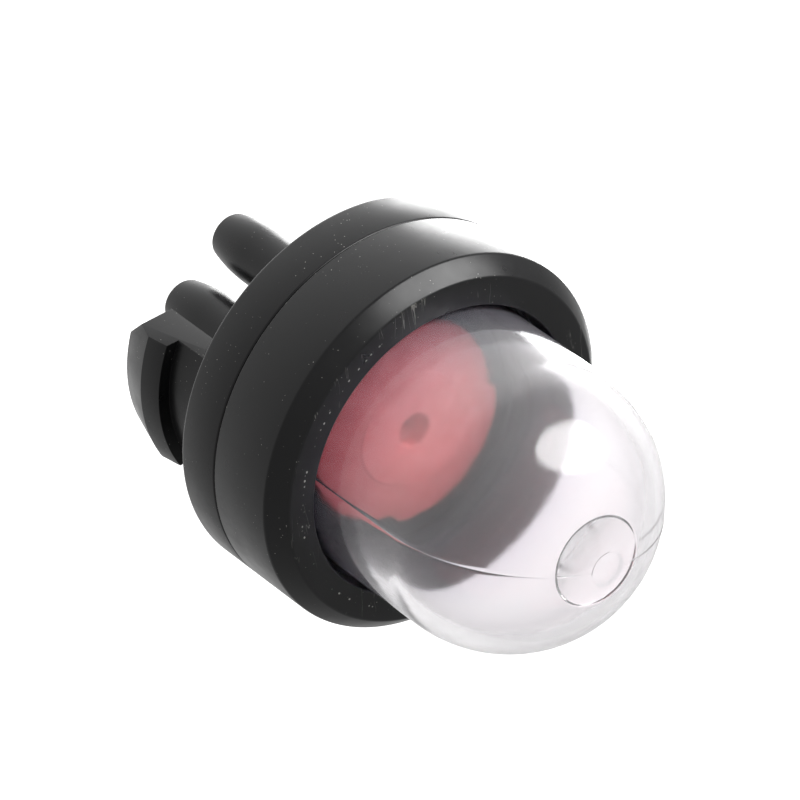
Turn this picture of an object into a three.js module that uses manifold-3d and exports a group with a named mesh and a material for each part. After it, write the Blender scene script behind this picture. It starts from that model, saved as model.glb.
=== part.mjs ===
// A snap-in primer bulb: a soft clear dome clamped in a round black body, with a rubber check valve inside it,
// two hose nozzles and two snap-in clips behind. Millimetres, +Z along the bulb's axis towards the dome.
// The origin is the centre of the body's back face, which seats on the panel, and the clips lie along X.
import * as THREE from "three";
import { mergeVertices } from "three/addons/utils/BufferGeometryUtils.js";
import Module from "manifold-3d";

const wasm = await Module();
wasm.setup();

// Body
const bodyRadius = 11;
const baseHeight = 2.9; // from the panel seat to the seam between base and cap
const capHeight = 5.3;
const capWall = 1.1; // of the skirt round the base's spigot
const frontChamfer = { depth: 1.0, width: 0.9 };
const frontEdge = 0.12;
const seamBreak = 0.12; // the small break of both edges at the seam
const backEdge = 0.25;
const spigotGap = 0.3;
const bodySteps = 80;

// Bulb
const bulbRadius = 8.12; // outside the wall
const bulbWall = 1.0;
const bulbStraight = 5.6; // how far the straight wall stands out of the cap
const bulbFlange = 1.0;
const bulbBoreGap = 0.33;
const flangeGap = 0.3;
const bulbDisc = { radius: 2.45, step: 0.12 }; // flat left by the core pin inside the top
const gateMark = { radius: 0.9, depth: 0.12, rim: 0.14 };
const bulbSteps = 64;
const domeSteps = 12;

// Check valve
const valveRadius = 5.85;
const valveRim = 0.4; // thickness of the disc's edge
const valveCrown = 0.85; // how far the middle stands above the edge
const valveEdge = { depth: 0.1, width: 0.15 };
const valveStep = { radius: 3.3, rise: 0.527, drop: 0.08 }; // the rise is from the edge's top to the step's foot
const valveFlat = 1.25; // radius of the flat round the hole
const valveSeatWidth = 1.1;
const valveHole = 0.95;
const stemRadius = 1.1;
const stemBore = 0.6;
const stemGap = 0.15;
const bulge = { radius: 1.4, height: 0.7 };
const duckbill = { length: 2.2, lip: 0.3, slit: 0.16, slitWidth: 1.3 };
const valveSteps = 48;

// Base, inside the cap
const flangeSeat = 5.3; // height of the face that the bulb's flange sits on
const wellDepth = 0.3; // of the recess that the valve's disc lies in
const stemWeb = 1.0; // wall between the valve's disc and the outlet chamber
const chamber = { radius: 1.7, floor: 1.0 };
const inletGroove = { inner: 2.1, outer: 3.7, depth: 0.6 };

// Hose nozzles, both on one line across the axis
const nozzleRadius = 1.68;
const nozzleBore = 0.7;
const nozzleLength = 13.1;
const nozzleNose = { length: 3.1, tip: 1.0, edge: 0.12 };
const nozzleRoot = 0.4;
const inletOffset = 2.8;
const outletOffset = 1.6;
const nozzleLineAngle = 35.6; // degrees from the line through the clips
const nozzleSteps = 24;
const noseSteps = 6;
const rootSteps = 3;

// Snap-in clips
const clipWidth = 8.4;
const clipInner = 7.1;
const clipNeck = 8.3;
const clipBarb = { shoulder: 8.98, crest: 9.17, tip: 8.5 };
const clipGrip = 4.65; // panel thickness that fits between the barb and the body
const clipCrest = 1.35; // length of the barb from its shoulder to its crest
const clipLeadIn = 2.15;
const clipCorner = 1.0; // cut off each corner of the tip
const clipSteps = 80;

const capFront = baseHeight + capHeight;
const skirtRadius = bodyRadius - capWall;
const spigotRadius = skirtRadius - spigotGap;
const boreRadius = bulbRadius + bulbBoreGap;
const flangeTop = flangeSeat + bulbFlange;
const flangeRadius = skirtRadius - flangeGap;
const bulbInner = bulbRadius - bulbWall;
const domeCentre = capFront + bulbStraight;
const valveSeat = flangeSeat - wellDepth;
const chamberTop = valveSeat - stemWeb;
const overcut = 1; // how far a cutting tool runs past the face that it opens
const slitOvercut = 0.01; // the same for the duckbill's slit

const nylon = new THREE.MeshStandardMaterial({ color: 0x2b2b2d, roughness: 0.5, metalness: 0 });
const clearPlastic = new THREE.MeshStandardMaterial({
  color: 0xe7e5e4,
  roughness: 0.15,
  metalness: 0,
  transparent: true,
  opacity: 0.35,
});
const pinkRubber = new THREE.MeshStandardMaterial({ color: 0xc87878, roughness: 0.4, metalness: 0 });

// Returns the points of a circular arc in the profile plane, angles in degrees, both ends included.
function arc(radius, height, size, from, to, steps) {
  return Array.from({ length: steps + 1 }, (_, i) => {
    const angle = THREE.MathUtils.degToRad(from + ((to - from) * i) / steps);
    return [radius + size * Math.cos(angle), height + size * Math.sin(angle)];
  });
}

// Turns an anticlockwise [radius, height] outline round Z. An outline off the axis closes on itself.
function turned(outline, steps) {
  const points = outline.map(([radius, height]) => new THREE.Vector2(radius, height));
  const onAxis = points[0].x === 0 && points.at(-1).x === 0;
  if (!onAxis) points.push(points[0].clone());
  return new THREE.LatheGeometry(points, steps).rotateX(Math.PI / 2);
}

// Extrudes an [x, z] outline along Y, centred on the XZ plane.
function slab(outline, width) {
  const shape = new THREE.Shape(outline.map(([x, z]) => new THREE.Vector2(x, z)));
  const geometry = new THREE.ExtrudeGeometry(shape, { depth: width, bevelEnabled: false });
  return geometry.translate(0, 0, -width / 2).rotateX(Math.PI / 2);
}

function rod(radius, bottom, top, steps) {
  return turned([[0, bottom], [radius, bottom], [radius, top], [0, top]], steps);
}

function solid(geometry) {
  const bare = geometry.clone();
  bare.deleteAttribute("normal");
  bare.deleteAttribute("uv");
  const merged = mergeVertices(bare, 1e-5);
  const mesh = new wasm.Mesh({
    numProp: 3,
    vertProperties: new Float32Array(merged.attributes.position.array),
    triVerts: new Uint32Array(merged.index.array),
  });
  return new wasm.Manifold(mesh);
}

function geometryOf(body) {
  const { vertProperties, triVerts } = body.getMesh();
  const geometry = new THREE.BufferGeometry();
  geometry.setAttribute("position", new THREE.BufferAttribute(vertProperties, 3));
  geometry.setIndex(new THREE.BufferAttribute(triVerts, 1));
  return geometry;
}

// Where a nozzle stands: a signed distance from the axis along the nozzle line.
function onNozzleLine(geometry, offset) {
  const angle = THREE.MathUtils.degToRad(nozzleLineAngle);
  return geometry.translate(offset * Math.cos(angle), offset * Math.sin(angle), 0);
}

// The disc at the back, the spigot inside the cap, and the recess for the valve.
function baseDisc() {
  return turned([
    [0, 0],
    [bodyRadius - backEdge, 0],
    [bodyRadius, backEdge],
    [bodyRadius, baseHeight - seamBreak],
    [bodyRadius - seamBreak, baseHeight],
    [spigotRadius, baseHeight],
    [spigotRadius, flangeSeat],
    [bulbInner, flangeSeat],
    [bulbInner, valveSeat],
    [0, valveSeat],
  ], bodySteps);
}

// A hose nozzle: straight shank, rounded nose and a small fillet where it leaves the back face.
function nozzle(offset) {
  const drop = nozzleRadius - nozzleNose.tip;
  const noseCurve = (nozzleNose.length ** 2 + drop ** 2) / (2 * drop);
  const noseAngle = THREE.MathUtils.radToDeg(Math.asin(nozzleNose.length / noseCurve));
  const noseStart = -nozzleLength + nozzleNose.length;
  const nose = arc(nozzleRadius - noseCurve, noseStart, noseCurve, -noseAngle, 0, noseSteps);
  const [tipRadius, tipHeight] = nose[0];
  const root = arc(nozzleRadius + nozzleRoot, -nozzleRoot, nozzleRoot, 180, 90, rootSteps);
  const outline = [
    [0, tipHeight],
    [tipRadius - nozzleNose.edge, tipHeight],
    [tipRadius, tipHeight + nozzleNose.edge],
    ...nose.slice(1),
    ...root,
    [nozzleRadius + nozzleRoot, overcut],
    [0, overcut],
  ];
  return onNozzleLine(turned(outline, nozzleSteps), offset);
}

// A ring with the clips' section, kept only where the two clips are.
function clips() {
  const shoulder = -clipGrip;
  const crest = shoulder - clipCrest;
  const tip = crest - clipLeadIn;
  const ring = turned([
    [clipInner, tip],
    [clipBarb.tip, tip],
    [clipBarb.crest, crest],
    [clipBarb.shoulder, shoulder],
    [clipNeck, shoulder],
    [clipNeck, overcut],
    [clipInner, overcut],
  ], clipSteps);
  const half = clipWidth / 2;
  const reach = 2 * bodyRadius;
  const shape = new THREE.Shape([
    new THREE.Vector2(-half, tip + clipCorner),
    new THREE.Vector2(-half + clipCorner, tip),
    new THREE.Vector2(half - clipCorner, tip),
    new THREE.Vector2(half, tip + clipCorner),
    new THREE.Vector2(half, overcut),
    new THREE.Vector2(-half, overcut),
  ]);
  const band = new THREE.ExtrudeGeometry(shape, { depth: 2 * reach, bevelEnabled: false });
  band.translate(0, 0, -reach).rotateX(Math.PI / 2).rotateZ(Math.PI / 2);
  return solid(ring).intersect(solid(band));
}

// The hollow that the liquid takes: in through one nozzle to the groove under the valve's disc, and out through
// the duckbill's chamber and the other nozzle.
function passages() {
  const groove = turned([
    [inletGroove.inner, valveSeat - inletGroove.depth],
    [inletGroove.outer, valveSeat - inletGroove.depth],
    [inletGroove.outer, valveSeat + overcut],
    [inletGroove.inner, valveSeat + overcut],
  ], valveSteps);
  const inlet = rod(nozzleBore, -nozzleLength - overcut, valveSeat + overcut, nozzleSteps);
  const outlet = rod(nozzleBore, -nozzleLength - overcut, chamber.floor + overcut, nozzleSteps);
  const stemHole = rod(stemRadius + stemGap, chamberTop - overcut, valveSeat + overcut, nozzleSteps);
  return [
    groove,
    onNozzleLine(inlet, -inletOffset),
    onNozzleLine(outlet, outletOffset),
    rod(chamber.radius, chamber.floor, chamberTop, valveSteps),
    stemHole,
  ];
}

function base() {
  let body = solid(baseDisc());
  body = body.add(clips());
  body = body.add(solid(nozzle(-inletOffset)));
  body = body.add(solid(nozzle(outletOffset)));
  for (const hollow of passages()) body = body.subtract(solid(hollow));
  return geometryOf(body);
}

function capRing() {
  return turned([
    [skirtRadius, baseHeight],
    [bodyRadius - seamBreak, baseHeight],
    [bodyRadius, baseHeight + seamBreak],
    [bodyRadius, capFront - frontChamfer.depth],
    [bodyRadius - frontChamfer.width, capFront],
    [boreRadius + frontEdge, capFront],
    [boreRadius, capFront - frontEdge],
    [boreRadius, flangeTop],
    [skirtRadius, flangeTop],
  ], bodySteps);
}

// The clear dome: flange, straight wall and half-round top, with the gate mark outside and the disc inside.
function bulb() {
  const markAngle = THREE.MathUtils.radToDeg(Math.acos((gateMark.radius + gateMark.rim) / bulbRadius));
  const outside = arc(0, domeCentre, bulbRadius, 0, markAngle, domeSteps);
  const markHeight = outside.at(-1)[1];
  const discAngle = THREE.MathUtils.radToDeg(Math.acos(bulbDisc.radius / bulbInner));
  const inside = arc(0, domeCentre, bulbInner, discAngle, 0, domeSteps);
  const discHeight = inside[0][1] - bulbDisc.step;
  return turned([
    [0, discHeight],
    [bulbDisc.radius - bulbDisc.step, discHeight],
    ...inside,
    [bulbInner, flangeSeat],
    [flangeRadius, flangeSeat],
    [flangeRadius, flangeTop],
    [bulbRadius, flangeTop],
    ...outside,
    [gateMark.radius, markHeight - gateMark.depth],
    [0, markHeight - gateMark.depth],
  ], bulbSteps);
}

// The flat lips of the duckbill, as a wedge between two heights.
function wedge(top, bottom, topHalf, bottomHalf, width) {
  return slab([[-bottomHalf, bottom], [bottomHalf, bottom], [topHalf, top], [-topHalf, top]], width);
}

// Umbrella disc, stem with its holding bulge, and duckbill, moulded in one piece of rubber.
function checkValve() {
  const rimTop = valveSeat + valveRim;
  const crown = rimTop + valveCrown;
  const stemBottom = chamberTop;
  const bulgeBottom = stemBottom - bulge.height;
  const duckbillBottom = bulgeBottom - duckbill.length;
  const seatInner = valveRadius - valveSeatWidth;
  const stepHeight = rimTop + valveStep.rise;
  const outside = turned([
    [0, duckbillBottom],
    [stemRadius, duckbillBottom],
    [stemRadius, bulgeBottom],
    [bulge.radius, stemBottom - bulge.height / 2],
    [bulge.radius, stemBottom],
    [stemRadius, stemBottom],
    [stemRadius, valveSeat],
    [inletGroove.inner, valveSeat],
    [seatInner, valveSeat],
    [valveRadius, valveSeat],
    [valveRadius, rimTop - valveEdge.depth],
    [valveRadius - valveEdge.width, rimTop],
    [valveStep.radius + valveStep.drop, stepHeight],
    [valveStep.radius, stepHeight + valveStep.drop],
    [valveFlat, crown],
    [0, crown],
  ], valveSteps);
  const lips = wedge(bulgeBottom, duckbillBottom, stemRadius, duckbill.lip + duckbill.slit / 2, 4 * stemRadius);
  const upper = slab([
    [-valveRadius * 2, bulgeBottom],
    [valveRadius * 2, bulgeBottom],
    [valveRadius * 2, crown + overcut],
    [-valveRadius * 2, crown + overcut],
  ], valveRadius * 4);
  let body = solid(outside).intersect(solid(lips).add(solid(upper)));
  body = body.subtract(solid(turned([
    [0, bulgeBottom],
    [stemBore, bulgeBottom],
    [stemBore, valveSeat],
    [valveHole, valveSeat + valveRim],
    [valveHole, crown + overcut],
    [0, crown + overcut],
  ], nozzleSteps)));
  const slitTop = bulgeBottom + slitOvercut;
  const slit = wedge(slitTop, duckbillBottom - slitOvercut, stemBore, duckbill.slit / 2, duckbill.slitWidth);
  body = body.subtract(solid(slit));
  return geometryOf(body);
}

function piece(name, geometry, material) {
  const mesh = new THREE.Mesh(geometry, material);
  mesh.name = name;
  return mesh;
}

const primerBulb = new THREE.Group();
primerBulb.add(piece("base", base(), nylon));
primerBulb.add(piece("cap_ring", capRing(), nylon));
primerBulb.add(piece("bulb", bulb(), clearPlastic));
primerBulb.add(piece("check_valve", checkValve(), pinkRubber));

export default primerBulb;
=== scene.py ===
import math

import bmesh
import bpy
from mathutils import Matrix, Vector


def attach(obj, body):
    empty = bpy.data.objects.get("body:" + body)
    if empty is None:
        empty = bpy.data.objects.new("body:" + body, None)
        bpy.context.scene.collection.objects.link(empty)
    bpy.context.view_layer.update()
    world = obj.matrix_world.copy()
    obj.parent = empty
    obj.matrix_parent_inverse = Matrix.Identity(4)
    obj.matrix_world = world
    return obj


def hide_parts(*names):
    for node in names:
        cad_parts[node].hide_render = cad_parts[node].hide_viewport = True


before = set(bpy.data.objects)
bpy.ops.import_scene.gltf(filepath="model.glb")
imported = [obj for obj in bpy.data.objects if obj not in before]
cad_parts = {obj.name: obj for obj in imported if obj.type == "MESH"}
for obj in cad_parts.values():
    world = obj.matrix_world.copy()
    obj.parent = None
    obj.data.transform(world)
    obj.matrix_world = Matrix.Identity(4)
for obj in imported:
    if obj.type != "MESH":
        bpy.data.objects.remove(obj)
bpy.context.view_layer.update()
mm = 0.001
print("frame loaded:", sorted(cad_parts))


# Colours and nodes

def linearColour(hexColour, alpha=1.0):
    values = [int(hexColour[i:i + 2], 16) / 255 for i in (1, 3, 5)]
    return tuple(v / 12.92 if v <= 0.04045 else ((v + 0.055) / 1.055) ** 2.4 for v in values) + (alpha,)


def feed(material, node, inputs):
    # inputs are values, or sockets to link from
    for name, value in inputs.items():
        if isinstance(value, bpy.types.NodeSocket):
            material.node_tree.links.new(value, node.inputs[name])
        else:
            node.inputs[name].default_value = value


def addNode(material, kind, settings=None, inputs=None):
    # settings are the node's own
    node = material.node_tree.nodes.new(kind)
    for name, value in (settings or {}).items():
        setattr(node, name, value)
    feed(material, node, inputs or {})
    return node


def newMaterial(name):
    material = bpy.data.materials.new(name)
    material.use_nodes = True
    place = addNode(material, "ShaderNodeTexCoord").outputs["Object"]
    return material, material.node_tree.nodes["Principled BSDF"], place


def stops(node, colours):
    # colours are (place, hex colour) pairs
    ramp = node.color_ramp
    while len(ramp.elements) < len(colours):
        ramp.elements.new(1.0)
    for element, (place, colour) in zip(ramp.elements, colours):
        element.position = place
        element.color = linearColour(colour)
    return node.outputs["Color"]


def fade(material, value, low, high, start=0.0, end=1.0):
    # goes from start, where the value is low, to end, where it is high
    return addNode(material, "ShaderNodeMapRange", None, {
        "Value": value, "From Min": low, "From Max": high, "To Min": start, "To Max": end}).outputs["Result"]


def reckon(material, operation, first, second=0.0):
    return addNode(material, "ShaderNodeMath", {"operation": operation}, {0: first, 1: second}).outputs["Value"]


def product(material, *values):
    result = values[0]
    for value in values[1:]:
        result = reckon(material, "MULTIPLY", result, value)
    return result


def nearValue(material, value, centre, width):
    # 1 at the centre, 0 a width away from it, both in mm
    away = reckon(material, "ABSOLUTE", reckon(material, "SUBTRACT", value, centre * mm))
    return fade(material, away, width * mm, 0.0)


# Modelling by loops: every round piece starts as a circle that is extruded, scaled and moved

joinDistance = 1e-7
loopSlack = 0.003
smoothAngle = 30


def clearSelection():
    if bpy.context.mode != "OBJECT":
        bpy.ops.object.mode_set(mode="OBJECT")
    bpy.ops.object.select_all(action="DESELECT")


def chooseOnly(piece):
    clearSelection()
    bpy.context.view_layer.objects.active = piece
    piece.select_set(True)


def applyPlace():
    bpy.ops.object.transform_apply(location=True, rotation=True, scale=True)


def chooseEdges(piece, wanted):
    mesh = bmesh.from_edit_mesh(piece.data)
    for part in (mesh.verts, mesh.edges, mesh.faces):
        for item in part:
            item.select = False
    for edge in mesh.edges:
        if wanted(edge.verts[0].co / mm, edge.verts[1].co / mm):
            edge.select_set(True)
    bmesh.update_edit_mesh(piece.data)


def onLoop(radius, height):
    def wanted(*ends):
        return all(abs(math.hypot(p.x, p.y) - radius) < loopSlack and abs(p.z - height) < loopSlack for p in ends)
    return wanted


def faceOutward(piece):
    bpy.ops.mesh.select_all(action="SELECT")
    bpy.ops.mesh.normals_make_consistent(inside=False)
    if bmesh.from_edit_mesh(piece.data).calc_volume(signed=True) < 0:
        bpy.ops.mesh.flip_normals()


def drawLoops(loops, steps, capStart=False, capEnd=False, closeUp=False):
    # loops are (radius, height) or (radius, height, squash along x), in mm
    clearSelection()
    radius, height = loops[0]
    squash = 1.0
    bpy.ops.mesh.primitive_circle_add(
        vertices=steps, radius=radius * mm, location=(0, 0, height * mm), fill_type="NGON" if capStart else "NOTHING")
    piece = bpy.context.object
    applyPlace()
    bpy.ops.object.mode_set(mode="EDIT")
    bpy.ops.mesh.select_mode(type="EDGE")
    bpy.ops.mesh.select_all(action="SELECT")
    if capStart:
        chooseEdges(piece, onLoop(radius, height))
    for nextRadius, nextHeight, *rest in loops[1:]:
        nextSquash = rest[0] if rest else 1.0
        bpy.ops.mesh.extrude_edges_move(TRANSFORM_OT_translate={"value": (0, 0, (nextHeight - height) * mm)})
        grow = nextRadius / radius
        bpy.ops.transform.resize(
            value=(grow * nextSquash / squash, grow, 1), center_override=(0, 0, nextHeight * mm))
        radius, height, squash = nextRadius, nextHeight, nextSquash
    if capEnd:
        bpy.ops.mesh.edge_face_add()
    if closeUp:
        first, last = onLoop(*loops[0][:2]), onLoop(*loops[-1][:2])
        chooseEdges(piece, lambda a, b: first(a, b) or last(a, b))
        bpy.ops.mesh.bridge_edge_loops()
    bpy.ops.mesh.select_all(action="SELECT")
    bpy.ops.mesh.remove_doubles(threshold=joinDistance)
    faceOutward(piece)
    return piece


def roundLoops(piece, edges, segments=3):
    # edges are (radius, height, width) in mm
    for radius, height, width in edges:
        chooseEdges(piece, onLoop(radius, height))
        bpy.ops.mesh.bevel(offset=width * mm, offset_type="OFFSET", segments=segments, affect="EDGES")
    bpy.ops.object.mode_set(mode="OBJECT")


def arcLoops(centre, size, start, end, steps, radius=0.0):
    # points of an arc round (radius, centre), angles in degrees up from the horizontal
    turns = [math.radians(start + (end - start) * i / steps) for i in range(steps + 1)]
    return [(radius + size * math.cos(t), centre + size * math.sin(t)) for t in turns]


def applyModifier(piece, kind, **settings):
    chooseOnly(piece)
    modifier = piece.modifiers.new(kind.title(), kind)
    for name, value in settings.items():
        setattr(modifier, name, value)
    bpy.ops.object.modifier_apply(modifier=modifier.name)


def combine(piece, other, operation):
    applyModifier(piece, "BOOLEAN", object=other, operation=operation, solver="EXACT")
    bpy.data.objects.remove(other)


def finishPiece(piece, name, material, node):
    chooseOnly(piece)
    piece.name = piece.data.name = name
    applyPlace()
    bpy.ops.object.shade_smooth_by_angle(angle=math.radians(smoothAngle))
    piece.data.materials.clear()
    piece.data.materials.append(material)
    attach(piece, "root")
    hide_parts(node)
    clearSelection()
    print("piece ready:", name, len(piece.data.polygons), "faces")


# Moulded nylon: black glass-filled nylon from an eroded steel mould, which gives a fine satin grain, a soft sheen
# and pale dust, specks and hair scratches where it has been handled, and pale dashes along the seam that are a painted
# highlight. Sizes and heights are in mm.

nylon = dict(
    # the pale colour is that of the dust, specks and scratches, and of the painted highlight along the seam
    colour="#0d0d0e", dustAndHighlight="#b9b8b2", ior=1.5, specular=0.3,
    patchSize=3.0, patchDetail=4.0, patchBlend=0.65, patchRange=(0.3, 0.7), roughness=(0.26, 0.4),
    grainSize=0.11, grainDetail=2.0, grainBlend=0.5, grainStrength=0.4, grainDepth=0.003,
    speckSize=0.3, speckRange=(0.11, 0.06), speckCover=0.5, dotRange=(0.3, 0.15), handled=(0.48, 0.6),
    scratchSize=0.9, scratchStretch=(1.0, 0.12, 1.0), scratchDetail=3.0, scratchWander=0.4,
    scratchWidth=(0.006, 0.002), scratchPatches=(0.5, 0.6), scratchCover=0.25,
    front=(8.15, 8.18), ringRadius=9.25, ringWidth=0.09, dustSide=(0.985, 0.17, 0.0), dustReach=4.0,
    # seam: height, width and reach of the painted highlight, pale dashes along the seam
    seam=2.95, seamWidth=0.05, seamRadius=(10.7, 10.8), seamCover=0.5,
)
mixFirst, mixSecond, mixResult = 6, 7, 2  # the colour sockets of a mix node


def mouldedNylon():
    n = nylon
    material, shader, place = newMaterial("mouldedNylon")
    height = addNode(material, "ShaderNodeSeparateXYZ", None, {"Vector": place}).outputs["Z"]
    flat = addNode(material, "ShaderNodeVectorMath", {"operation": "MULTIPLY"}, {0: place, 1: (1, 1, 0)})
    radius = addNode(
        material, "ShaderNodeVectorMath", {"operation": "LENGTH"}, {0: flat.outputs["Vector"]}).outputs["Value"]
    side = addNode(
        material, "ShaderNodeVectorMath", {"operation": "DOT_PRODUCT"}, {0: place, 1: n["dustSide"]}).outputs["Value"]
    grain = addNode(material, "ShaderNodeTexNoise", None, {
        "Vector": place, "Scale": 1 / (n["grainSize"] * mm), "Detail": n["grainDetail"],
        "Roughness": n["grainBlend"]}).outputs["Fac"]
    patches = addNode(material, "ShaderNodeTexNoise", None, {
        "Vector": place, "Scale": 1 / (n["patchSize"] * mm), "Detail": n["patchDetail"],
        "Roughness": n["patchBlend"]}).outputs["Fac"]
    specks = addNode(material, "ShaderNodeTexVoronoi", {"feature": "F1"}, {
        "Vector": place, "Scale": 1 / (n["speckSize"] * mm), "Randomness": 1.0}).outputs["Distance"]
    stretched = addNode(
        material, "ShaderNodeVectorMath", {"operation": "MULTIPLY"}, {0: place, 1: n["scratchStretch"]})
    lines = addNode(material, "ShaderNodeTexNoise", None, {
        "Vector": stretched.outputs["Vector"], "Scale": 1 / (n["scratchSize"] * mm), "Detail": n["scratchDetail"],
        "Distortion": n["scratchWander"]}).outputs["Fac"]
    hair = reckon(material, "ABSOLUTE", reckon(material, "SUBTRACT", lines, 0.5))
    front = fade(material, height, *(z * mm for z in n["front"]))
    dotted = fade(material, specks, *n["dotRange"])
    dots = product(
        material, fade(material, specks, *n["speckRange"]), fade(material, patches, *n["handled"]), n["speckCover"])
    dustRing = product(
        material, nearValue(material, radius, n["ringRadius"], n["ringWidth"]), front, dotted,
        fade(material, side, 0.0, n["dustReach"] * mm))
    # painted highlight: pale dotted dashes along the seam on the outside of the body
    seamHighlight = product(
        material, nearValue(material, height, n["seam"], n["seamWidth"]), dotted,
        fade(material, radius, *(r * mm for r in n["seamRadius"]), end=n["seamCover"]))
    scratches = product(
        material, fade(material, hair, *n["scratchWidth"]), front,
        fade(material, patches, *n["scratchPatches"], end=n["scratchCover"]))
    marks = dots
    for layer in (dustRing, seamHighlight, scratches):
        marks = reckon(material, "MAXIMUM", marks, layer)
    colour = addNode(material, "ShaderNodeMix", {"data_type": "RGBA"}, {
        "Factor": marks, mixFirst: linearColour(n["colour"]), mixSecond: linearColour(n["dustAndHighlight"])})
    bump = addNode(material, "ShaderNodeBump", None, {
        "Height": grain, "Strength": n["grainStrength"], "Distance": n["grainDepth"] * mm})
    feed(material, shader, {
        "Base Color": colour.outputs[mixResult],
        "Roughness": fade(material, patches, *n["patchRange"], *n["roughness"]),
        "Normal": bump.outputs["Normal"], "IOR": n["ior"], "Specular IOR Level": n["specular"]})
    return material


blackNylon = mouldedNylon()


# Base: the disc that seats on the panel, with the spigot inside the cap, two hose nozzles and two snap-in clips

base = dict(
    steps=192, radius=11.0, height=2.9, backEdge=0.25, seamEdge=0.12, spigot=9.6, spigotEdge=0.1, seat=5.3,
    wellRadius=7.12, well=5.0, overlap=0.4, overcut=0.5, drillStart=-14.1, cutterSteps=72,
    nozzleSteps=72, nozzleRadius=1.68, tipRadius=1.25, tipEdge=0.3, tip=-13.1, noseLength=3.1, noseSteps=12,
    root=0.4, rootSteps=6, bore=0.7, lineAngle=35.6, inlet=-2.8, outlet=1.6,
    stemHole=1.25, chamber=(1.7, 1.0, 4.0), groove=(2.1, 3.7, 4.4), grooveTop=6.0, grooveSteps=96,
    clipInner=7.1, clipNeck=8.3, shoulder=(8.98, -4.65), crest=(9.17, -6.0), clipTip=(8.5, -8.15),
    clipWidth=8.0, clipCorner=1.0, clipEdge=0.14, clipEdgeAngle=20, clipTurn=-1.6,
)


def baseDisc():
    b = base
    piece = drawLoops([
        (b["radius"], 0.0), (b["radius"], b["height"]), (b["spigot"], b["height"]), (b["spigot"], b["seat"]),
        (b["wellRadius"], b["seat"]), (b["wellRadius"], b["well"])], b["steps"], capStart=True, capEnd=True)
    roundLoops(piece, [
        (b["radius"], 0.0, b["backEdge"]), (b["radius"], b["height"], b["seamEdge"]),
        (b["spigot"], b["seat"], b["spigotEdge"])])
    return piece


def moveAlongLine(piece, offset):
    # both nozzles stand on one line through the axis
    angle = math.radians(base["lineAngle"])
    chooseOnly(piece)
    bpy.ops.transform.translate(value=(offset * math.cos(angle) * mm, offset * math.sin(angle) * mm, 0))
    applyPlace()
    return piece


def nozzleShape(offset):
    b = base
    drop = b["nozzleRadius"] - b["tipRadius"]
    curve = (b["noseLength"] ** 2 + drop ** 2) / (2 * drop)
    lean = math.degrees(math.asin(b["noseLength"] / curve))
    nose = arcLoops(b["tip"] + b["noseLength"], curve, -lean, 0, b["noseSteps"], b["nozzleRadius"] - curve)
    root = arcLoops(-b["root"], b["root"], 180, 90, b["rootSteps"], b["nozzleRadius"] + b["root"])
    inDisc = (b["nozzleRadius"] + b["root"], b["overlap"])
    piece = drawLoops(nose + root + [inDisc], b["nozzleSteps"], capStart=True, capEnd=True)
    roundLoops(piece, [(b["tipRadius"], b["tip"], b["tipEdge"])])
    return moveAlongLine(piece, offset)


def cutter(radius, bottom, top):
    piece = drawLoops([(radius, bottom), (radius, top)], base["cutterSteps"], capStart=True, capEnd=True)
    bpy.ops.object.mode_set(mode="OBJECT")
    return piece


def clipPair():
    # one turned ring with the barb's section, cut down to two clips
    b = base
    tip = b["clipTip"][1]
    piece = drawLoops([
        (b["clipInner"], tip), b["clipTip"], b["crest"], b["shoulder"], (b["clipNeck"], b["shoulder"][1]),
        (b["clipNeck"], b["overlap"]), (b["clipInner"], b["overlap"])], b["steps"], closeUp=True)
    half = b["clipWidth"] / 2
    cuts = [((0, side * half, 0), (0, side, 0)) for side in (-1, 1)]
    cuts += [((0, side * half, tip + b["clipCorner"]), (0, side, -1)) for side in (-1, 1)]
    for point, normal in cuts:
        bpy.ops.mesh.select_all(action="SELECT")
        bpy.ops.mesh.bisect(
            plane_co=Vector(point) * mm, plane_no=normal, use_fill=True, clear_outer=True, threshold=joinDistance)
    bpy.ops.object.mode_set(mode="OBJECT")
    applyModifier(
        piece, "BEVEL", width=b["clipEdge"] * mm, segments=3, limit_method="ANGLE",
        angle_limit=math.radians(b["clipEdgeAngle"]), use_clamp_overlap=True)
    piece.rotation_euler.z = math.radians(b["clipTurn"])
    applyPlace()
    return piece


def closeSlivers(piece):
    # the booleans leave one sliver open on a clip, a few thousandths of a mm wide
    bpy.ops.object.mode_set(mode="EDIT")
    bpy.ops.mesh.select_all(action="SELECT")
    bpy.ops.mesh.fill_holes(sides=3)
    faceOutward(piece)
    bpy.ops.object.mode_set(mode="OBJECT")


def makeBase():
    b = base
    piece = baseDisc()
    combine(piece, clipPair(), "UNION")
    for offset in (b["inlet"], b["outlet"]):
        combine(piece, nozzleShape(offset), "UNION")
    inner, outer, bottom = b["groove"]
    top = b["grooveTop"]
    groove = drawLoops([(inner, bottom), (outer, bottom), (outer, top), (inner, top)], b["grooveSteps"], closeUp=True)
    bpy.ops.object.mode_set(mode="OBJECT")
    combine(piece, groove, "DIFFERENCE")
    chamberRadius, chamberBottom, chamberTop = b["chamber"]
    wellCut = b["well"] + b["overcut"]
    for offset, drillEnd in ((b["inlet"], wellCut), (b["outlet"], chamberBottom + b["overcut"])):
        combine(piece, moveAlongLine(cutter(b["bore"], b["drillStart"], drillEnd), offset), "DIFFERENCE")
    combine(piece, cutter(chamberRadius, chamberBottom, chamberTop), "DIFFERENCE")
    combine(piece, cutter(b["stemHole"], chamberTop - b["overcut"], wellCut), "DIFFERENCE")
    closeSlivers(piece)
    finishPiece(piece, "baseMoulding", blackNylon, "base")


# Cap: the front of the body, with its chamfer, the flat front ring and the bore that the bulb comes out of

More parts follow.
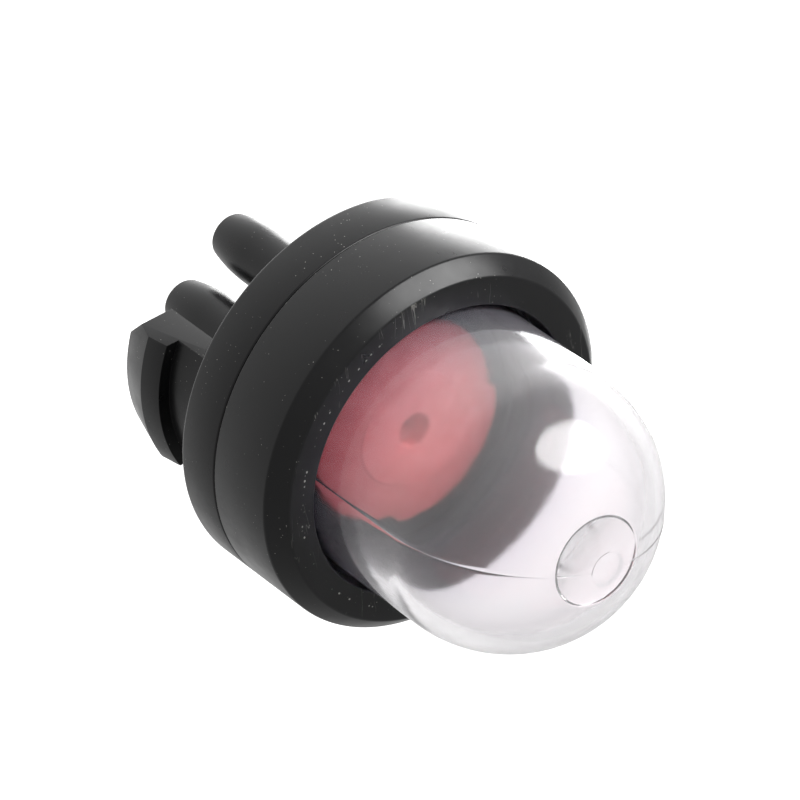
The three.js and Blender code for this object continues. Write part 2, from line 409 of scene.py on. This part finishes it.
cap = dict(
    steps=192, radius=11.0, seam=2.9, front=8.2, chamferDepth=1.0, chamferWidth=0.9, bore=8.45, flangeTop=6.3,
    skirt=9.9, seamEdge=0.12, chamferEdge=0.1, boreEdge=0.12, insideEdge=0.08,
)


def makeCap():
    c = cap
    edge = (c["radius"], c["front"] - c["chamferDepth"])
    shoulder = (c["radius"] - c["chamferWidth"], c["front"])
    piece = drawLoops([
        (c["skirt"], c["seam"]), (c["radius"], c["seam"]), edge, shoulder, (c["bore"], c["front"]),
        (c["bore"], c["flangeTop"]), (c["skirt"], c["flangeTop"])], c["steps"], closeUp=True)
    roundLoops(piece, [
        (c["radius"], c["seam"], c["seamEdge"]), (*edge, c["chamferEdge"]), (*shoulder, c["chamferEdge"]),
        (c["bore"], c["front"], c["boreEdge"]), (c["bore"], c["flangeTop"], c["insideEdge"]),
        (c["skirt"], c["seam"], c["insideEdge"])])
    finishPiece(piece, "capMoulding", blackNylon, "cap_ring")


# Bulb: soft clear dome with its flange, gate mark, inner disc and the mould's parting line

bulb = dict(
    steps=180, radius=8.12, wall=1.0, seat=5.3, flange=9.6, flangeTop=6.3, centre=13.8, domeSteps=30,
    discRadius=2.45, discStep=0.12, gateRadius=0.9, gateDepth=0.12, gateRim=0.14,
    rootEdge=0.25, flangeEdge=0.15, seatEdge=0.1, innerEdge=0.15, discEdge=0.06, markEdge=0.05,
    partingAngle=-16.0, partingWidth=0.05, partingHeight=0.02, partingSlack=0.002, domeSlack=0.01,
    clearOfAxis=1.0, aboveFlange=0.2, belowGate=0.03,
)
urethane = dict(
    # low is the violet grey of the painted shade low on the dome, high is the dome's own near white
    low="#d9d7e2", high="#f4f2f4", highPlace=0.35, shadeFrom=8.0, shadeTo=22.0, transmission=0.94, ior=1.42,
    hazeSize=4.0, hazeDetail=4.0, hazeBlend=0.6, hazeRange=(0.3, 0.7), roughness=(0.06, 0.14),
    rippleSize=2.2, rippleDetail=2.0, rippleBlend=0.5, rippleStrength=0.25, rippleDepth=0.05,
)


def clearUrethane():
    # Clear soft urethane, polished mould: glossy and see-through, with a faint haze, and a violet grey tint low down
    # that is painted shade, darkening the dome towards the body.
    u = urethane
    material, shader, place = newMaterial("clearUrethane")
    haze = addNode(material, "ShaderNodeTexNoise", None, {
        "Vector": place, "Scale": 1 / (u["hazeSize"] * mm), "Detail": u["hazeDetail"], "Roughness": u["hazeBlend"]})
    ripple = addNode(material, "ShaderNodeTexNoise", None, {
        "Vector": place, "Scale": 1 / (u["rippleSize"] * mm), "Detail": u["rippleDetail"],
        "Roughness": u["rippleBlend"]})
    bump = addNode(material, "ShaderNodeBump", None, {
        "Height": ripple.outputs["Fac"], "Strength": u["rippleStrength"], "Distance": u["rippleDepth"] * mm})
    height = addNode(material, "ShaderNodeSeparateXYZ", None, {"Vector": place}).outputs["Z"]
    # painted shade: the base colour darkens to violet grey low on the dome and goes to near white higher up
    raised = fade(material, height, u["shadeFrom"] * mm, u["shadeTo"] * mm)
    shadeTint = stops(
        addNode(material, "ShaderNodeValToRGB", None, {"Fac": raised}), [(0.0, u["low"]), (u["highPlace"], u["high"])])
    feed(material, shader, {
        "Base Color": shadeTint, "Roughness": fade(material, haze.outputs["Fac"], *u["hazeRange"], *u["roughness"]),
        "Normal": bump.outputs["Normal"], "Transmission Weight": u["transmission"], "IOR": u["ior"]})
    return material


def partingLine(piece, top):
    # a fine raised line up both sides of the dome, where the two halves of the mould met
    b = bulb
    angle = math.radians(b["partingAngle"])
    along, across = Vector((math.cos(angle), math.sin(angle))), Vector((-math.sin(angle), math.cos(angle)))
    low = b["flangeTop"] + b["aboveFlange"]

    def onLine(point):
        flat = Vector((point.x, point.y))
        reach = math.hypot(flat.length, max(point.z - b["centre"], 0.0))
        onPlane = abs(flat @ across) < b["partingSlack"] and abs(flat @ along) > b["clearOfAxis"]
        return onPlane and reach > b["radius"] - b["domeSlack"] and low < point.z

    chooseEdges(piece, lambda a, c: onLine(a) and onLine(c))
    bpy.ops.mesh.bevel(offset=b["partingWidth"] * mm, offset_type="OFFSET", segments=2, affect="EDGES")
    chooseEdges(piece, lambda a, c: onLine(a) and onLine(c) and max(a.z, c.z) < top)
    bpy.ops.transform.shrink_fatten(value=b["partingHeight"] * mm)


def makeBulb():
    b = bulb
    inner = b["radius"] - b["wall"]
    discAngle = math.degrees(math.acos(b["discRadius"] / inner))
    gateAngle = math.degrees(math.acos((b["gateRadius"] + b["gateRim"]) / b["radius"]))
    inside = arcLoops(b["centre"], inner, discAngle, 0, b["domeSteps"])
    outside = arcLoops(b["centre"], b["radius"], 0, gateAngle, b["domeSteps"])
    discTop, gateRimTop = inside[0][1], outside[-1][1]
    disc = (b["discRadius"] - b["discStep"], discTop - b["discStep"])
    gate = (b["gateRadius"], gateRimTop - b["gateDepth"])
    flange = [
        (inner, b["seat"]), (b["flange"], b["seat"]), (b["flange"], b["flangeTop"]), (b["radius"], b["flangeTop"])]
    piece = drawLoops([disc] + inside + flange + outside + [gate], b["steps"], capStart=True, capEnd=True)
    roundLoops(piece, [
        (b["radius"], b["flangeTop"], b["rootEdge"]), (b["flange"], b["flangeTop"], b["flangeEdge"]),
        (b["flange"], b["seat"], b["seatEdge"]), (inner, b["seat"], b["innerEdge"]),
        (b["discRadius"], discTop, b["discEdge"]), (*disc, b["markEdge"]), (*outside[-1], b["markEdge"]),
        (*gate, b["markEdge"])])
    bpy.ops.object.mode_set(mode="EDIT")
    partingLine(piece, gateRimTop - b["belowGate"])
    faceOutward(piece)
    bpy.ops.object.mode_set(mode="OBJECT")
    finishPiece(piece, "clearBulb", clearUrethane(), "bulb")


# Check valve: pink rubber disc with a hole, its stem through the base and the duckbill lips under it

valve = dict(
    steps=96, radius=5.85, seat=5.0, rim=5.4, crown=6.25, stepRadius=3.3, stepHeight=5.927, stepDrop=0.08,
    hole=0.95, stem=1.1, bore=0.6, chamberTop=4.0, bulge=1.4, bulgeBottom=3.3, bulgeRise=0.35, lipBottom=1.1,
    lip=0.38, slit=0.08, slitHalf=0.65, rimEdge=0.15, stepEdge=0.05, holeEdge=0.2, bulgeEdge=0.12,
)
silicone = dict(
    dark="#cf5c5e", light="#df7476", mottleRange=(0.3, 0.7), mottleSize=1.2, mottleDetail=5.0, mottleBlend=0.6,
    fineSize=0.12, fineDetail=2.0, fineBlend=0.5, fineStrength=0.3, fineDepth=0.008,
    roughness=0.42, ior=1.41, scatter=0.25, scatterColours=(1.0, 0.35, 0.3), scatterReach=0.8,
)


def siliconeRubber():
    # Pink silicone rubber from a smooth mould: soft satin, a little light goes in and comes out redder.
    s = silicone
    material, shader, place = newMaterial("siliconeRubber")
    mottle = addNode(material, "ShaderNodeTexNoise", None, {
        "Vector": place, "Scale": 1 / (s["mottleSize"] * mm), "Detail": s["mottleDetail"],
        "Roughness": s["mottleBlend"]})
    colour = stops(
        addNode(material, "ShaderNodeValToRGB", None, {"Fac": mottle.outputs["Fac"]}),
        list(zip(s["mottleRange"], (s["dark"], s["light"]))))
    fine = addNode(material, "ShaderNodeTexNoise", None, {
        "Vector": place, "Scale": 1 / (s["fineSize"] * mm), "Detail": s["fineDetail"], "Roughness": s["fineBlend"]})
    bump = addNode(material, "ShaderNodeBump", None, {
        "Height": fine.outputs["Fac"], "Strength": s["fineStrength"], "Distance": s["fineDepth"] * mm})
    feed(material, shader, {
        "Base Color": colour, "Normal": bump.outputs["Normal"], "Roughness": s["roughness"], "IOR": s["ior"],
        "Subsurface Weight": s["scatter"], "Subsurface Radius": s["scatterColours"],
        "Subsurface Scale": s["scatterReach"] * mm})
    return material


def makeValve():
    v = valve
    stepTop = v["stepHeight"] + v["stepDrop"]
    outer = [
        (v["radius"], v["seat"]), (v["radius"], v["rim"]), (v["stepRadius"] + v["stepDrop"], v["stepHeight"]),
        (v["stepRadius"], stepTop), (v["hole"], v["crown"])]
    inner = [
        (v["hole"], v["rim"]), (v["bore"], v["seat"]), (v["bore"], v["bulgeBottom"]),
        (v["slitHalf"], v["lipBottom"], v["slit"] / v["slitHalf"])]
    lower = [
        (v["stem"], v["lipBottom"], v["lip"] / v["stem"]), (v["stem"], v["bulgeBottom"]),
        (v["bulge"], v["bulgeBottom"] + v["bulgeRise"]), (v["bulge"], v["chamberTop"]), (v["stem"], v["chamberTop"]),
        (v["stem"], v["seat"])]
    piece = drawLoops(outer + inner + lower, v["steps"], closeUp=True)
    roundLoops(piece, [
        (v["radius"], v["rim"], v["rimEdge"]), (v["stepRadius"] + v["stepDrop"], v["stepHeight"], v["stepEdge"]),
        (v["stepRadius"], stepTop, v["stepEdge"]), (v["hole"], v["crown"], v["holeEdge"]),
        (v["bulge"], v["chamberTop"], v["bulgeEdge"])])
    finishPiece(piece, "valveRubber", siliconeRubber(), "check_valve")


makeBase()
makeCap()
makeBulb()
makeValve()


# Camera, as the photograph was taken

view = dict(
    right=(-0.7818, 0.0921, 0.6165), up=(-0.4401, -0.7818, -0.4415), back=(0.4413, -0.6165, 0.6519),
    across=2.81, upward=-0.96, distance=400.0, lens=338.6, sensor=36.0, clipStart=10.0,
)
right, up, back = (Vector(view[name]) for name in ("right", "up", "back"))


def makeCamera():
    eye = right * view["across"] + up * view["upward"] + back * view["distance"]
    camera = bpy.data.objects.new("camera", bpy.data.cameras.new("camera"))
    camera.data.lens = view["lens"]
    camera.data.sensor_width = view["sensor"]
    camera.data.clip_start = view["clipStart"] * mm
    camera.matrix_world = Matrix.Translation(eye * mm) @ Matrix((right, up, back)).transposed().to_4x4()
    bpy.context.collection.objects.link(camera)
    bpy.context.scene.camera = camera


# Floor and light: a plain white floor well under the nozzles, white all round, and two lamps

studio = dict(
    floorHeight=-60.0, floorSize=2400.0, boardColour="#f4f4f4", boardRoughness=0.9, boardGlow=0.45,
    light=0.5, seen=1.0,
)


def seenDirectly(owner):
    # 1 for what the camera sees, straight or through the dome
    path = addNode(owner, "ShaderNodeLightPath").outputs
    return reckon(owner, "MAXIMUM", path["Is Camera Ray"], path["Is Transmission Ray"])


def mattBoard():
    # Matt white board: glows to the camera and through the dome, so that it shows white, and takes soft shadows.
    material, shader, _ = newMaterial("mattBoard")
    feed(material, shader, {
        "Base Color": linearColour(studio["boardColour"]), "Roughness": studio["boardRoughness"],
        "Specular IOR Level": 0.0, "Emission Color": (1, 1, 1, 1),
        "Emission Strength": product(material, seenDirectly(material), studio["boardGlow"])})
    return material


def makeFloor():
    clearSelection()
    bpy.ops.mesh.primitive_plane_add(size=studio["floorSize"] * mm, location=(0, 0, studio["floorHeight"] * mm))
    floor = bpy.context.object
    floor.name = "floor"
    floor.data.materials.append(mattBoard())


def makeWorld():
    world = bpy.data.worlds.new("studio")
    bpy.context.scene.world = world
    world.use_nodes = True
    strength = fade(world, seenDirectly(world), 0.0, 1.0, studio["light"], studio["seen"])
    feed(world, world.node_tree.nodes["Background"], {"Color": (1, 1, 1, 1), "Strength": strength})


lamps = {
    # place is (right, up, back) of the camera, mm from the origin; size in mm; power in watts; a hidden lamp stands
    # in the picture behind the body and lights its far edge
    "rimLamp": dict(place=(17, 32, -60), size=(36, 74), power=0.045, hidden=True),
    "softBox": dict(place=(138, 104, 98), size=(200, 120), power=0.7, hidden=False),
}


def makeLamps():
    for name, lamp in lamps.items():
        light = bpy.data.lights.new(name, "AREA")
        light.shape = "ELLIPSE"
        light.size, light.size_y = (s * mm for s in lamp["size"])
        light.energy = lamp["power"]
        holder = bpy.data.objects.new(name, light)
        across, upward, backward = lamp["place"]
        spot = (right * across + up * upward + back * backward) * mm
        away = spot.normalized()
        level = up.cross(away).normalized()
        turn = Matrix((level, away.cross(level), away)).transposed().to_4x4()
        holder.matrix_world = Matrix.Translation(spot) @ turn
        holder.visible_camera = holder.visible_transmission = not lamp["hidden"]
        bpy.context.collection.objects.link(holder)


makeCamera()
makeFloor()
makeWorld()
makeLamps()
bpy.context.scene.view_settings.view_transform = "Standard"
print("camera, floor and lights ready")
